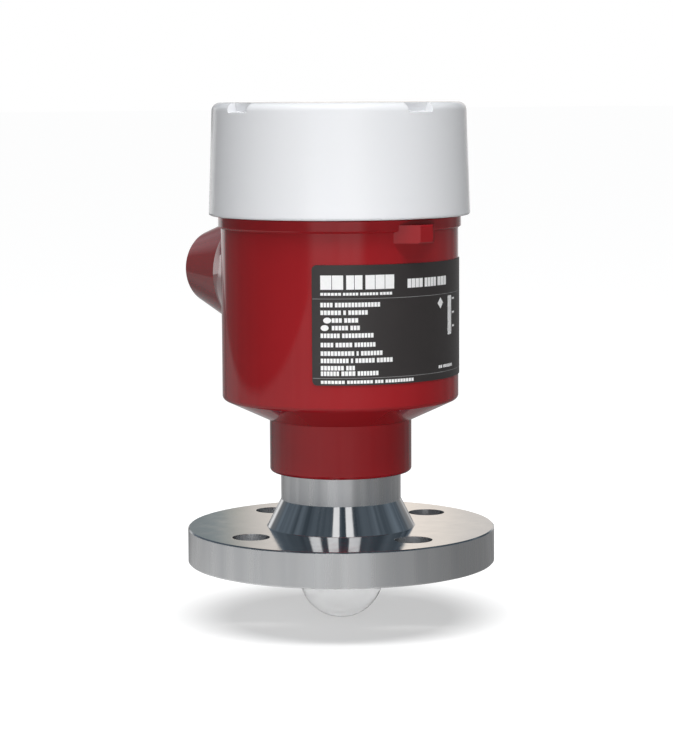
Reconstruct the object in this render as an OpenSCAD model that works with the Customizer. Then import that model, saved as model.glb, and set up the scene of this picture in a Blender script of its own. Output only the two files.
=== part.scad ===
// Radar level transmitter: a flanged process connection that carries a lens antenna,
// a cast housing that swivels on it, and a screw lid over the display and terminals.
// The origin is the centre of the flange's sealing face, +Z points up the neck, and
// the cable entry faces +Y.

/* [Flange] */
// Outer diameter of the flange
flange_d = 150; // [144:1:160]
// Thickness of the flange rim
flange_rim_t = 17.3; // [15:0.1:22]
// Diameter of the raised sealing face
raised_face_d = 88; // [80:1:90]
// Height of the raised sealing face
raised_face_h = 2; // [1:0.5:3]
// Diameter of the bolt circle
bolt_circle_d = 110; // [108:1:116]
// Diameter of each bolt hole
bolt_hole_d = 18; // [14:0.5:19]
// Number of bolt holes
bolt_count = 4; // [4:4:8]
// Chamfer on turned edges
edge_chamfer = 0.6; // [0.2:0.1:1]

/* [Neck] */
// Diameter of the conical hub where it leaves the flange
hub_base_d = 72.4; // [68:0.2:80]
// Height of the conical hub
hub_h = 13.5; // [8:0.5:20]
// Diameter of the straight neck
neck_d = 58.6; // [58:0.2:62]
// Height of the straight neck above the hub
neck_h = 15.4; // [12:0.2:24]
// Width of the shoulder that the housing turns on
shoulder_w = 1.8; // [1.5:0.1:2.5]
// Wall of the spigot round the bore that holds the antenna
spigot_wall = 4; // [3.6:0.1:5]
// Height of the opening for the lens below its seat
lens_seat_h = 8; // [6:0.5:11]

/* [Lens antenna] */
// Width of the ledge in the bore that carries the lens
lens_ledge = 3; // [2.7:0.1:4]
// Distance of the dome's centre below the sealing face
lens_drop = 5.8; // [2:0.2:8]
// Thickness of the lens collar
lens_collar_t = 5; // [4:0.5:7]
// Section diameter of the lens seal
lens_seal_d = 1.8; // [1.6:0.1:2]
// Height of the threaded ring that clamps the lens
clamp_ring_t = 4; // [3:0.5:6]
// Height of the horn above its seat
horn_h = 16; // [12:0.5:20]
// Diameter of the waveguide at the top of the horn
waveguide_d = 3; // [2:0.5:5]
// Thickness of the circuit boards
board_t = 1.6; // [1:0.2:2.4]

/* [Swivel collar] */
// Wall of the swivel collar outside the neck
collar_wall = 5.3; // [4.8:0.1:6.5]
// Height of the swivel collar
collar_h = 25.7; // [22:0.1:30]
// Height of the collar's skirt over the neck shoulder
collar_skirt_h = 1.7; // [1:0.1:3]
// Height of the collar's plain bearing on the spigot
bearing_h = 14.6; // [14:0.2:18]
// Height of the thread that holds the collar in the housing
collar_thread_h = 8; // [6:0.5:10]
// Thickness of the slide washer under the collar
washer_t = 1; // [0.6:0.1:2]
// Radial running clearance of the swivel
swivel_clearance = 0.05; // [0.02:0.01:0.1]
// Swivel travel to each side
swivel_range = 165; // [120:5:168]
// Diameter of the swivel set screw
set_screw_d = 5; // [4:0.5:6]

/* [Housing] */
// Outer diameter of the housing
body_d = 115; // [112:0.5:118]
// Wall of the casting
wall = 5; // [4:0.2:5.6]
// Height of the housing wall from the collar to the rim ring
body_h = 93; // [92:0.2:104]
// Slope of the housing's underside
base_slope = 25; // [18:0.25:28]
// Radius between the housing's underside and its wall
base_round = 2.5; // [1.5:0.5:8]
// Height of the inside floor above the collar
floor_h = 12.8; // [12:0.1:18]
// Step of the rim ring beyond the housing wall
rim_step = 1.35; // [1:0.05:2.5]
// Height of the rim ring
rim_h = 5.9; // [5:0.1:7]
// Height of the threaded spout above the rim ring
spout_h = 12; // [10:0.5:14]
// Wall of the threaded spout
spout_wall = 4; // [3.5:0.1:4.6]

/* [Cable entry] */
// Distance of the entry's axis below the rim ring
entry_drop = 24.4; // [22:0.1:30]
// Length of the cable boss beyond the housing wall
boss_l = 46; // [38:0.5:48]
// Diameter of the boss at its end
boss_end_d = 38; // [34:0.2:39]
// Taper of the boss to each side
boss_taper = 16.5; // [10:0.5:17]
// Taper of the flare that blends the boss into the housing wall
boss_flare_taper = 28; // [20:0.5:28.5]
// Diameter of the tapped entry hole
entry_hole_d = 18.4; // [16:0.2:20]
// Depth of the entry thread
entry_thread_h = 18; // [14:0.5:24]

/* [Lid] */
// Overhang of the lid's lower edge beyond the rim ring
lid_overhang = 4.4; // [3.9:0.1:6]
// Height of the lid
lid_h = 54.1; // [52:0.1:60]
// Draft of the lid's side
lid_draft = 2.1; // [1:0.1:3]
// Rounding of the lid's top edge
lid_round = 4; // [2:0.5:5]
// Rounding of the lid's lower edge
lid_lip_round = 1.2; // [0.6:0.1:1.6]
// Thickness of the lid's roof
lid_roof_t = 4.5; // [3.5:0.5:6]
// Gap between the rim ring and the closed lid
lid_gap = 0.3; // [0.2:0.05:0.6]
// Number of grip notches
notch_count = 4; // [2:1:8]
// Width of a grip notch at its floor
notch_w = 14; // [10:0.5:16]
// Depth of a grip notch
notch_depth = 4.6; // [4.4:0.1:5.4]
// Radial length of a grip notch
notch_reach = 5.5; // [3:0.5:7]
// Section diameter of the lid seal
lid_seal_d = 3.4; // [2.8:0.1:3.8]

/* [Label] */
// Height of the label plate
label_h = 56; // [40:1:60]
// Angle that the label plate wraps round the housing
label_angle = 103; // [60:1:140]
// Thickness of the label plate
label_t = 0.4; // [0.3:0.1:0.8]
// Corner radius of the label plate
label_round = 2.5; // [1:0.5:5]

/* [Lid lock] */
// Width of the lug's outer face
lug_face_w = 7.5; // [7:0.5:10]
// Distance of the lug's outer face beyond the rim ring
lug_stand = 6.15; // [5.8:0.05:8]
// Height of the lug
lug_h = 8.5; // [7:0.5:12]
// Diameter of the lock screw
lock_screw_d = 4; // [3:0.5:5]

/* [Electronics] */
// Space between the electronics cup and the housing wall
cup_gap = 8.5; // [7.6:0.1:10]
// Height of the electronics cup
cup_h = 42; // [38:0.5:43]
// Wall of the electronics cup
cup_wall = 2; // [1.5:0.1:3]
// Thickness of the cover over the cup
cover_t = 3; // [2:0.2:4]
// Number of poles on the terminal block
pole_count = 5; // [3:1:6]
// Distance between the terminal poles
pole_pitch = 7.5; // [6:0.25:8]
// Height of the terminal block
terminal_h = 14; // [12:0.5:18]

/* [Display] */
// Space round the display module for fingers and cores
display_gap = 12.5; // [11:0.5:16]
// Height of the display module
display_h = 22; // [20:0.5:26]
// Height of the pedestal under the display module
pedestal_h = 30; // [27:0.5:33]
// Width of the display window
window_w = 46; // [40:1:50]
// Depth of the display window
window_l = 26; // [20:1:28]
// Number of keys
key_count = 4; // [4:1:4]
// Width of each key
key_w = 8; // [6:0.5:9]
// Travel of each key
key_travel = 1; // [0.6:0.1:1.4]

/* [Hidden] */
$fn = 72;
tiny = 0.01;
// small clearance between pieces that are assembled together
assembly_gap = 0.1;
// clearance round a piece that moves past another
moving_gap = 0.3;
// radial clearance of a screwed joint
thread_gap = 0.05;

// radii of the neck and of what lies in it
neck_r = neck_d / 2;
spigot_r = neck_r - shoulder_w;
bore_r = spigot_r - spigot_wall;
lens_r = bore_r - lens_ledge;
lens_opening_r = lens_r + moving_gap;
collar_r = neck_r + collar_wall;

// heights up the neck
z_rim0 = raised_face_h;
z_rim1 = z_rim0 + flange_rim_t;
z_hub1 = z_rim1 + hub_h;
z_shoulder = z_hub1 + neck_h;
z_bearing0 = z_shoulder + washer_t;
z_bearing1 = z_bearing0 + bearing_h;
z_collar0 = z_shoulder - collar_skirt_h;
z_collar1 = z_collar0 + collar_h;
clip_t = 1.5;
clip_groove_h = clip_t + assembly_gap;
z_clip = z_bearing1 + moving_gap;
spigot_lip = 2.3;
z_spigot1 = z_clip + clip_groove_h + spigot_lip;
groove_pitch = 4.9;
z_stop = z_bearing0 + bearing_h / 2;

// antenna stack inside the neck
z_lens0 = lens_seat_h;
z_lens1 = z_lens0 + lens_collar_t;
z_horn_seat = z_lens1 + clamp_ring_t;
horn_seat_t = 2;
z_board0 = z_horn_seat + horn_h;
z_board1 = z_board0 + board_t;
standoff_inset = 4.5;
standoff_r = bore_r - standoff_inset;
standoff_d = 4;
standoff_hole_d = 2.1;
board_hole_d = 2.4;
clamp_ring_r = lens_r - 2;
horn_rim_r = clamp_ring_r - 0.4;
horn_mouth_r = horn_rim_r - 1.7;
horn_neck_r = 7;
lens_crown_h = 2;
feed_t = 5;
feed_recess = 3;
z_feed1 = z_spigot1 - feed_recess;
z_feed0 = z_feed1 - feed_t;
feed_step = 2;
connector_h = 4;
connector_w = 6;
connector_l = 8;
connector_x = 11;
radar_lead_d = 3;
chip_w = 7;
chip_t = 1.1;
waveguide_h = 4;
horn_screw_d = 1.6;
standoff_hole_h = 6;
spanner_hole_d = 2.2;
spanner_hole_h = 2;
socket_d = 12;
socket_h = 4;

// housing
body_r = body_d / 2;
cavity_r = body_r - wall;
rim_r = body_r + rim_step;
spout_r = cavity_r + spout_wall;
base_step = 0.6;
collar_thread_step = 2.6;
base_r0 = collar_r + base_step;
thread_r = collar_r - collar_thread_step;
z_corner = z_collar1 + (body_r - base_r0) * tan(base_slope);
base_tangent = base_round * tan(45 - base_slope / 2);
z_floor = z_collar1 + floor_h;
z_body1 = z_collar1 + body_h;
z_rim_ring1 = z_body1 + rim_h;
z_spout1 = z_rim_ring1 + spout_h;
rim_chamfer = 0.7;
rim_lower_edge = 0.3;
rim_upper_edge = 0.4;
z_entry = z_body1 - entry_drop;
entry_reach = body_r + boss_l;
lug_reach = rim_r + lug_stand;
seal_land_h = 4.2;

// lid
z_lid0 = z_rim_ring1 + lid_gap;
z_lid1 = z_lid0 + lid_h;
lid_r = rim_r + lid_overhang;
thread_depth = 1;
seal_land_depth = 1.7;
lid_thread_r = spout_r + thread_depth;
lid_seal_r = spout_r - seal_land_depth + lid_seal_d / 2 + assembly_gap / 2;
lid_counterbore_r = lid_seal_r + lid_seal_d / 2 + moving_gap;

// electronics
cup_r = cavity_r - cup_gap;
z_cup1 = z_floor + cup_h;
z_cover1 = z_cup1 + cover_t;
main_board_rise = 15;
z_main_board = z_floor + main_board_rise;
boss_r = 4;
boss_ring_r = cavity_r - boss_r + 0.5;
z_pedestal1 = z_cover1 + pedestal_h;
z_display1 = z_pedestal1 + display_h;
display_wall = 2;
face_t = 2;
back_t = 2;
switch_board_drop = 13;
z_switch_board = z_display1 - switch_board_drop;

// screws: head diameter, head height and shank diameter
board_screw = [4, 1.6, 2];
cover_screw = [5.6, 2.2, 3];
earth_screw = [6, 2.6, 4];
board_screw_bite = 4;
cover_screw_bite = 8;
earth_screw_bite = 8;

// ---- helpers -------------------------------------------------------------

// A ring turned about Z between two radii and two heights.
module ring(r_in, r_out, z0, z1) {
    translate([0, 0, z0])
        difference() {
            cylinder(r = r_out, h = z1 - z0);
            translate([0, 0, -1]) cylinder(r = r_in, h = z1 - z0 + 2);
        }
}

// A round-section ring, such as an O-ring, centred at a height.
module o_ring(centre_r, section_d, z) {
    translate([0, 0, z])
        rotate_extrude($fn = 72)
            translate([centre_r, 0]) circle(d = section_d, $fn = 24);
}

// Copies its children at equal angles about Z.
module around(count, start = 0) {
    for (i = [0 : count - 1])
        rotate([0, 0, start + i * 360 / count]) children();
}

// A pan-head screw standing on a surface at z, with its shank below and a cross slot.
// Its size lists the head's diameter, the head's height and the shank's diameter.
module pan_screw(size, shank_h, z) {
    head_d = size[0];
    head_h = size[1];
    slot_l = head_d * 0.62;
    slot_w = head_d * 0.16;
    difference() {
        translate([0, 0, z]) cylinder(d = head_d, h = head_h, $fn = 32);
        for (a = [0, 90])
            translate([0, 0, z + head_h * 0.75])
                rotate([0, 0, a]) cube([slot_l, slot_w, head_h], center = true);
    }
    translate([0, 0, z - shank_h]) cylinder(d = size[2], h = shank_h + tiny, $fn = 24);
}

// A block with its corners rounded in plan.
module rounded_block(w, l, h, r) {
    linear_extrude(h) rounded_rect(w, l, r);
}

module rounded_rect(w, l, r) {
    square([w - 2 * r, l], center = true);
    square([w, l - 2 * r], center = true);
    for (x = [-1, 1], y = [-1, 1])
        translate([x * (w / 2 - r), y * (l / 2 - r)]) circle(r = r, $fn = 32);
}

// ---- process connection --------------------------------------------------

clip_groove_r = spigot_r - 1.4;
seal_groove_depth = 1.9;
seal_groove_h = 2.4;
stop_groove_depth = 1.6;
stop_groove_h = 4;
dog_r = 1.75;
dog_half_angle = asin(dog_r / (spigot_r - stop_groove_depth));
stop_rib_half = 180 - swivel_range - dog_half_angle - moving_gap;

module flange_profile() {
    c = edge_chamfer;
    polygon([
        [lens_opening_r, 0],
        [raised_face_d / 2 - c, 0],
        [raised_face_d / 2, c],
        [raised_face_d / 2, z_rim0],
        [flange_d / 2 - c, z_rim0],
        [flange_d / 2, z_rim0 + c],
        [flange_d / 2, z_rim1 - c],
        [flange_d / 2 - c, z_rim1],
        [hub_base_d / 2, z_rim1],
        [neck_r, z_hub1],
        [neck_r, z_shoulder - c],
        [neck_r - c, z_shoulder],
        [spigot_r, z_shoulder],
        [spigot_r, z_clip],
        [clip_groove_r, z_clip],
        [clip_groove_r, z_clip + clip_groove_h],
        [spigot_r, z_clip + clip_groove_h],
        [spigot_r, z_spigot1 - c],
        [spigot_r - c, z_spigot1],
        [bore_r + feed_step / 2, z_spigot1],
        [bore_r + feed_step / 2, z_feed0],
        [bore_r, z_feed0],
        [bore_r, z_lens0],
        [lens_opening_r, z_lens0]
    ]);
}

module seal_groove(z) {
    ring(spigot_r - seal_groove_depth, spigot_r + 1, z - seal_groove_h / 2, z + seal_groove_h / 2);
}

module flange_neck() color("silver")
    difference() {
        rotate_extrude() flange_profile();
        around(bolt_count)
            translate([bolt_circle_d / 2, 0, z_rim0 - 1])
                cylinder(d = bolt_hole_d, h = flange_rim_t + 2);
        for (s = [-1, 1]) seal_groove(z_stop + s * groove_pitch);
        // groove of the swivel stop, left uncut at the rib
        translate([0, 0, z_stop - stop_groove_h / 2])
            rotate([0, 0, 180 + stop_rib_half])
                rotate_extrude(angle = 360 - 2 * stop_rib_half)
                    translate([spigot_r - stop_groove_depth, 0])
                        square([stop_groove_depth + 1, stop_groove_h]);
        // groove of the lens seal
        ring(lens_seal_r - lens_seal_d * 0.6, lens_seal_r + lens_seal_d * 0.6,
             z_lens0 - lens_seal_d + assembly_gap, z_lens0 + tiny);
    }

lens_seal_r = (lens_opening_r + bore_r) / 2;

module lens() color("white")
    rotate_extrude() {
        intersection() {
            translate([0, -lens_drop]) circle(r = lens_r, $fn = 96);
            translate([0, -lens_drop - lens_r - 1]) square([lens_r + 1, lens_r + 1]);
        }
        polygon([
            [0, -lens_drop],
            [lens_r, -lens_drop],
            [lens_r, z_lens0],
            [bore_r - assembly_gap, z_lens0],
            [bore_r - assembly_gap, z_lens1],
            [horn_mouth_r, z_lens1],
            [0, z_lens1 + lens_crown_h]
        ]);
    }

module lens_seal() color("black")
    o_ring(lens_seal_r, lens_seal_d - 2 * assembly_gap, z_lens0 - lens_seal_d / 2 + assembly_gap / 2);

module lens_clamp_ring() color("gainsboro")
    difference() {
        ring(clamp_ring_r, bore_r - assembly_gap / 2, z_lens1, z_horn_seat);
        around(4, 45)
            translate([(clamp_ring_r + bore_r) / 2, 0, z_horn_seat - spanner_hole_h])
                cylinder(d = spanner_hole_d, h = spanner_hole_h + 1, $fn = 24);
    }

module antenna_horn() color("gainsboro")
    difference() {
        rotate_extrude()
            polygon([
                [horn_mouth_r, z_lens1 + assembly_gap],
                [horn_rim_r, z_lens1 + assembly_gap],
                [horn_rim_r, z_horn_seat],
                [bore_r - assembly_gap / 2, z_horn_seat],
                [bore_r - assembly_gap / 2, z_horn_seat + horn_seat_t],
                [horn_mouth_r, z_horn_seat + horn_seat_t],
                [horn_neck_r, z_board0 - horn_seat_t],
                [horn_neck_r, z_board0],
                [waveguide_d / 2, z_board0],
                [waveguide_d / 2, z_board0 - waveguide_h]
            ]);
        around(3)
            translate([standoff_r, 0, z_horn_seat - 1])
                cylinder(d = horn_screw_d, h = horn_seat_t + 2, $fn = 24);
    }

module board_standoffs() color("goldenrod")
    around(3)
        translate([standoff_r, 0, z_horn_seat + horn_seat_t])
            difference() {
                cylinder(d = standoff_d, h = horn_h - horn_seat_t, $fn = 6);
                translate([0, 0, horn_h - horn_seat_t - standoff_hole_h])
                    cylinder(d = standoff_hole_d, h = standoff_hole_h + 1, $fn = 24);
            }

module radar_board() color("darkgreen")
    difference() {
        translate([0, 0, z_board0]) cylinder(r = bore_r - 1, h = board_t);
        around(3)
            translate([standoff_r, 0, z_board0 - 1])
                cylinder(d = board_hole_d, h = board_t + 2, $fn = 24);
    }

module radar_chip() color("dimgray")
    translate([-chip_w / 2, -chip_w / 2, z_board1]) cube([chip_w, chip_w, chip_t]);

module board_screws() color("silver")
    around(3)
        translate([standoff_r, 0, 0]) pan_screw(board_screw, board_t + board_screw_bite, z_board1);

module board_connector() color("ivory")
    translate([connector_x - connector_w / 2, -connector_l / 2, z_board1])
        cube([connector_w, connector_l, connector_h]);

module radar_lead() color("dimgray")
    translate([connector_x, 0, z_board1 + connector_h])
        cylinder(d = radar_lead_d, h = z_feed0 - z_board1 - connector_h, $fn = 32);

module feedthrough() color("slategray")
    rotate_extrude()
        polygon([
            [0, z_feed0],
            [bore_r + feed_step / 2 - assembly_gap, z_feed0],
            [bore_r + feed_step / 2 - assembly_gap, z_feed1],
            [socket_d / 2, z_feed1],
            [socket_d / 2, z_feed1 + socket_h],
            [0, z_feed1 + socket_h]
        ]);

module swivel_seals() color("black")
    for (s = [-1, 1])
        o_ring(spigot_r - seal_groove_depth / 2, seal_groove_depth - assembly_gap / 2,
               z_stop + s * groove_pitch);

washer_inset = 0.2;
washer_play = 0.05;

module slide_washer() color("white")
    ring(spigot_r + assembly_gap, neck_r - washer_inset, z_shoulder, z_bearing0 - washer_play);

clip_mouth_angle = 20;
clip_stand = 1.6;

// The spring ring above the collar is open over a short gap.
module retaining_ring() color("gray")
    rotate([0, 0, clip_mouth_angle / 2])
        rotate_extrude(angle = 360 - clip_mouth_angle)
            translate([clip_groove_r + assembly_gap, z_clip + assembly_gap / 2])
                square([spigot_r + clip_stand - clip_groove_r, clip_t]);

// ---- swivel collar -------------------------------------------------------

bearing_r = spigot_r + swivel_clearance;
collar_recess_r = spigot_r + 2.4;
collar_round = 1.75;
set_screw_recess = 0.8;
set_screw_socket_d = set_screw_d * 0.55;
set_screw_socket_h = 2.4;

module swivel_collar() color([0.55, 0.13, 0.15])
    difference() {
        rotate_extrude() collar_profile();
        translate([0, 0, z_stop]) rotate([0, 90, 0])
            cylinder(d = set_screw_d, h = collar_r + 1, $fn = 32);
    }

module collar_profile() {
    c = edge_chamfer;
    intersection() {
        polygon([
            [neck_r + moving_gap, z_collar0],
            [collar_r, z_collar0],
            [collar_r, z_collar1],
            [thread_r - thread_gap, z_collar1],
            [thread_r - thread_gap, z_collar1 + collar_thread_h - c],
            [thread_r - c, z_collar1 + collar_thread_h],
            [collar_recess_r, z_collar1 + collar_thread_h],
            [collar_recess_r, z_bearing1],
            [bearing_r, z_bearing1],
            [bearing_r, z_bearing0],
            [neck_r + moving_gap, z_bearing0]
        ]);
        union() {
            translate([0, z_collar0 + collar_round]) square([collar_r, collar_h + collar_thread_h]);
            square([collar_r - collar_round, z_collar1]);
            translate([collar_r - collar_round, z_collar0 + collar_round])
                circle(r = collar_round, $fn = 32);
        }
    }
}

// The seal lies in the chamfer at the mouth of the housing's collar thread.
collar_seal_chamfer = 1.8;
collar_seal_d = collar_seal_chamfer * (2 - sqrt(2)) - assembly_gap;

module collar_seal() color("black")
    o_ring(thread_r + (collar_seal_d + assembly_gap) / 2, collar_seal_d,
           z_collar1 + (collar_seal_d + assembly_gap) / 2);

module collar_set_screw() color("gray")
    translate([0, 0, z_stop]) rotate([0, 90, 0])
        difference() {
            union() {
                translate([0, 0, bearing_r + assembly_gap])
                    cylinder(d = set_screw_d - assembly_gap,
                             h = collar_r - set_screw_recess - bearing_r, $fn = 32);
                translate([0, 0, spigot_r - stop_groove_depth + assembly_gap])
                    cylinder(r = dog_r, h = stop_groove_depth + assembly_gap, $fn = 24);
            }
            translate([0, 0, collar_r - set_screw_recess - set_screw_socket_h])
                cylinder(d = set_screw_socket_d, h = set_screw_socket_h + 1, $fn = 6);
        }

// ---- housing -------------------------------------------------------------

module housing_outline() {
    fillet_x = body_r - base_round;
    fillet_z = z_corner + base_tangent;
    polygon([
        [0, z_collar1],
        [base_r0, z_collar1],
        [body_r - base_tangent * cos(base_slope), z_corner - base_tangent * sin(base_slope)],
        [body_r, fillet_z],
        [body_r, z_body1],
        [rim_r - rim_lower_edge, z_body1 + rim_chamfer],
        [rim_r, z_body1 + rim_chamfer + rim_lower_edge],
        [rim_r, z_rim_ring1 - rim_upper_edge],
        [rim_r - rim_upper_edge, z_rim_ring1],
        [lid_seal_r - lid_seal_d / 2 - assembly_gap / 2, z_rim_ring1],
        [lid_seal_r - lid_seal_d / 2 - assembly_gap / 2, z_rim_ring1 + seal_land_h],
        [spout_r, z_rim_ring1 + seal_land_h + 1],
        [spout_r, z_spout1 - 1],
        [spout_r - 1, z_spout1],
        [0, z_spout1]
    ]);
    translate([fillet_x, fillet_z]) circle(r = base_round, $fn = 72);
}

thread_relief_h = 0.5;
throat_step = 3;
floor_round = 1.5;

module housing_cavity() {
    polygon([
        [0, z_collar1 - 1],
        [thread_r + collar_seal_chamfer + 1, z_collar1 - 1],
        [thread_r, z_collar1 + collar_seal_chamfer],
        [thread_r, z_collar1 + collar_thread_h + thread_relief_h],
        [thread_r + throat_step, z_collar1 + collar_thread_h + thread_relief_h],
        [thread_r + 2 * throat_step, z_floor],
        [cavity_r - floor_round, z_floor],
        [cavity_r, z_floor + floor_round],
        [cavity_r, z_spout1 + 1],
        [0, z_spout1 + 1]
    ]);
}

boss_rim_round = 0.8;
boss_flare_l = 4.5;
boss_top_gap = 0.4;
entry_thread_depth = 1;
spot_face_w = 4;
spot_face_h = 0.8;

// The boss widens to the housing, at first slowly and in the flare faster, and ends inside
// the housing's wall.
module entry_boss_profile() {
    y_flare = body_r + boss_flare_l;
    y_root = body_r / 2;
    r_end = boss_end_d / 2;
    r_flare = r_end + (entry_reach - y_flare) * tan(boss_taper);
    difference() {
        polygon([
            [0, y_root],
            [r_flare + (y_flare - y_root) * tan(boss_flare_taper), y_root],
            [r_flare, y_flare],
            [r_end, entry_reach],
            [0, entry_reach]
        ]);
        // rounded rim at the end face
        difference() {
            translate([r_end - boss_rim_round, entry_reach - boss_rim_round])
                square(boss_rim_round + 1);
            translate([r_end - boss_rim_round, entry_reach - boss_rim_round])
                circle(r = boss_rim_round, $fn = 32);
        }
    }
}

// The boss is flat on top, just under the rim ring.
module entry_boss()
    intersection() {
        on_entry_axis() rotate_extrude() entry_boss_profile();
        cylinder(r = 2 * entry_reach, h = z_body1 - boss_top_gap);
    }

// Turns its children from +Z to +Y at the height of the cable entry.
module on_entry_axis() {
    translate([0, 0, z_entry]) rotate([-90, 0, 0]) children();
}

// Plan of the lid lock lug: a flat outer face between two sloping sides.
module lug_plan() {
    root = lug_reach - body_r + 3;
    translate([0, -lug_reach])
        polygon([
            [-lug_face_w / 2, 0], [lug_face_w / 2, 0],
            [lug_face_w / 2 + root, root], [-lug_face_w / 2 - root, root]
        ]);
}

lug_chamfer = 0.7;
lug_drop = 2.35;
z_lug1 = z_rim_ring1 - lug_drop;
z_lug0 = z_lug1 - lug_h;

module lock_lug() {
    intersection() {
        translate([0, 0, z_lug0]) linear_extrude(lug_h) lug_plan();
        rotate_extrude()
            polygon([
                [0, z_lug0], [lug_reach - lug_chamfer, z_lug0],
                [lug_reach + 0.2, z_lug0 + lug_chamfer], [lug_reach + 0.2, z_lug1 - lug_chamfer],
                [lug_reach - lug_chamfer, z_lug1], [0, z_lug1]
            ]);
    }
}

cup_screw_angles = [30, 150, 270];
ground_angle = 0;
ground_boss_r = 4.5;
z_ground = z_cover1 + 3;

module inner_boss(angle, r, z_top) {
    rotate([0, 0, angle])
        translate([boss_ring_r, 0, z_floor - 1]) cylinder(r = r, h = z_top - z_floor + 1, $fn = 32);
}

module housing() color([0.62, 0.14, 0.16])
    difference() {
        union() {
            difference() {
                union() {
                    rotate_extrude() housing_outline();
                    entry_boss();
                    lock_lug();
                }
                rotate_extrude() housing_cavity();
            }
            intersection() {
                union() {
                    for (a = cup_screw_angles) inner_boss(a, boss_r, z_cup1);
                    inner_boss(ground_angle, ground_boss_r, z_ground);
                }
                translate([0, 0, z_floor - 1]) cylinder(r = cavity_r + wall / 2, h = body_h);
            }
        }
        // tapped cable entry with a spot face, and the passage behind it
        on_entry_axis() {
            cylinder(d = entry_hole_d - 2 * entry_thread_depth, h = entry_reach + 1);
            translate([0, 0, entry_reach - entry_thread_h])
                cylinder(d = entry_hole_d, h = entry_thread_h + 1);
            translate([0, 0, entry_reach - spot_face_h])
                cylinder(d = entry_hole_d + 2 * spot_face_w, h = spot_face_h + 1);
        }
        // holes for the cover screws, the ground screw and the lock screw
        for (a = cup_screw_angles)
            rotate([0, 0, a]) translate([boss_ring_r, 0, z_cup1 - cover_screw_bite - 2])
                cylinder(d = cover_screw[2] + 0.2, h = cover_screw_bite + 3, $fn = 24);
        rotate([0, 0, ground_angle]) translate([boss_ring_r, 0, z_ground - earth_screw_bite])
            cylinder(d = earth_screw[2] + 0.2, h = earth_screw_bite + 1, $fn = 24);
        translate([0, lock_screw_y, z_lug0 - 1])
            cylinder(d = lock_screw_d + 0.1, h = lug_h + 2, $fn = 32);
    }

lock_screw_y = -(rim_r + 0.8 + lock_screw_d / 2);
lock_screw_inset = 0.6;
lock_socket_d = 2.3;
lock_socket_h = 2.4;

module lid_lock_screw() color("gray")
    difference() {
        translate([0, lock_screw_y, z_lug0 + lock_screw_inset])
            cylinder(d = lock_screw_d, h = lug_h - 2 * lock_screw_inset, $fn = 32);
        translate([0, lock_screw_y, z_lug0 + lock_screw_inset - 1])
            cylinder(d = lock_socket_d, h = lock_socket_h + 1, $fn = 6);
    }

// ---- label ---------------------------------------------------------------

label_gap_above = 14.5;
label_glue_t = 0.05;
z_label1 = z_body1 - label_gap_above;
z_label0 = z_label1 - label_h;

// A sector of the label's thin wall, with its middle on -Y.
module label_band(angle, z0, z1) {
    translate([0, 0, z0]) rotate([0, 0, -90 - angle / 2])
        rotate_extrude(angle = angle)
            translate([body_r + label_glue_t, 0]) square([label_t, z1 - z0]);
}

// The sliver between a square corner and its round, cut through the label's thickness.
module label_corner(side, up) {
    inset_h = label_round * 0.97;
    inset = inset_h / body_r * 180 / PI;
    rotate([0, 0, side * (label_angle / 2 - inset)])
        translate([0, 1 - body_r, (up > 0 ? z_label1 : z_label0) - up * inset_h])
            rotate([90, 0, 0])
                linear_extrude(label_t + 2)
                    difference() {
                        translate([side > 0 ? 0 : -label_round - 1, up > 0 ? 0 : -label_round - 1])
                            square(label_round + 1);
                        circle(r = label_round, $fn = 32);
                    }
}

module label() color([0.16, 0.15, 0.15])
    difference() {
        label_band(label_angle, z_label0, z_label1);
        for (side = [-1, 1], up = [-1, 1]) label_corner(side, up);
    }

// ---- electronics ---------------------------------------------------------

plug_h = 6;
lead_d = 5;
z_plug0 = z_feed1 + socket_h;
z_lead1 = z_main_board - connector_h;

module lead_plug() color("dimgray")
    rotate_extrude()
        polygon([
            [0, z_plug0], [socket_d / 2, z_plug0], [socket_d / 2, z_plug0 + plug_h - 2],
            [lead_d / 2 + 0.6, z_plug0 + plug_h], [0, z_plug0 + plug_h]
        ]);

module signal_lead() color("black")
    translate([0, 0, z_plug0 + plug_h]) cylinder(d = lead_d, h = z_lead1 - z_plug0 - plug_h, $fn = 32);

module electronics_cup() color([0.12, 0.12, 0.13])
    difference() {
        translate([0, 0, z_floor]) cylinder(r = cup_r, h = cup_h);
        translate([0, 0, z_main_board]) cylinder(r = cup_r - cup_wall, h = cup_h);
        translate([0, 0, z_floor + cup_wall])
            cylinder(r = cup_r - 2 * cup_wall, h = cup_h);
        translate([0, 0, z_floor - 1]) cylinder(d = socket_d + 2 * cup_wall, h = cup_h);
    }

module main_board() color("darkgreen")
    translate([0, 0, z_main_board]) cylinder(r = cup_r - cup_wall - assembly_gap, h = board_t);

board_top = z_main_board + board_t;

// parts on the main board: width, depth and height of each, and their places
transformer = [18, 16, 13];
processor = [14, 14, 1.6];
driver_chip = [10, 8, 1.6];
crystal = [12, 8, 3];
capacitor_d = 9;
capacitor_h = 16;
capacitor_pitch = 12;
capacitor_inset = 20;
capacitor_row = cup_r - capacitor_inset;
part_round = 0.4;

module board_part(size, x, y)
    translate([x, y, board_top]) rounded_block(size[0], size[1], size[2], part_round);

module board_parts() color("dimgray") {
    // connector of the signal lead, under the board
    translate([0, 0, z_lead1]) cylinder(d = socket_d, h = connector_h, $fn = 48);
    board_part(transformer, -capacitor_row, -transformer[1]);
    for (i = [0 : 2])
        translate([i * capacitor_pitch, -capacitor_row, board_top])
            cylinder(d = capacitor_d, h = capacitor_h, $fn = 32);
    board_part(processor, 0, 0);
    board_part(driver_chip, capacitor_row, -driver_chip[1] / 2);
    board_part(crystal, 2 - capacitor_row, crystal[1]);
}

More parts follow.
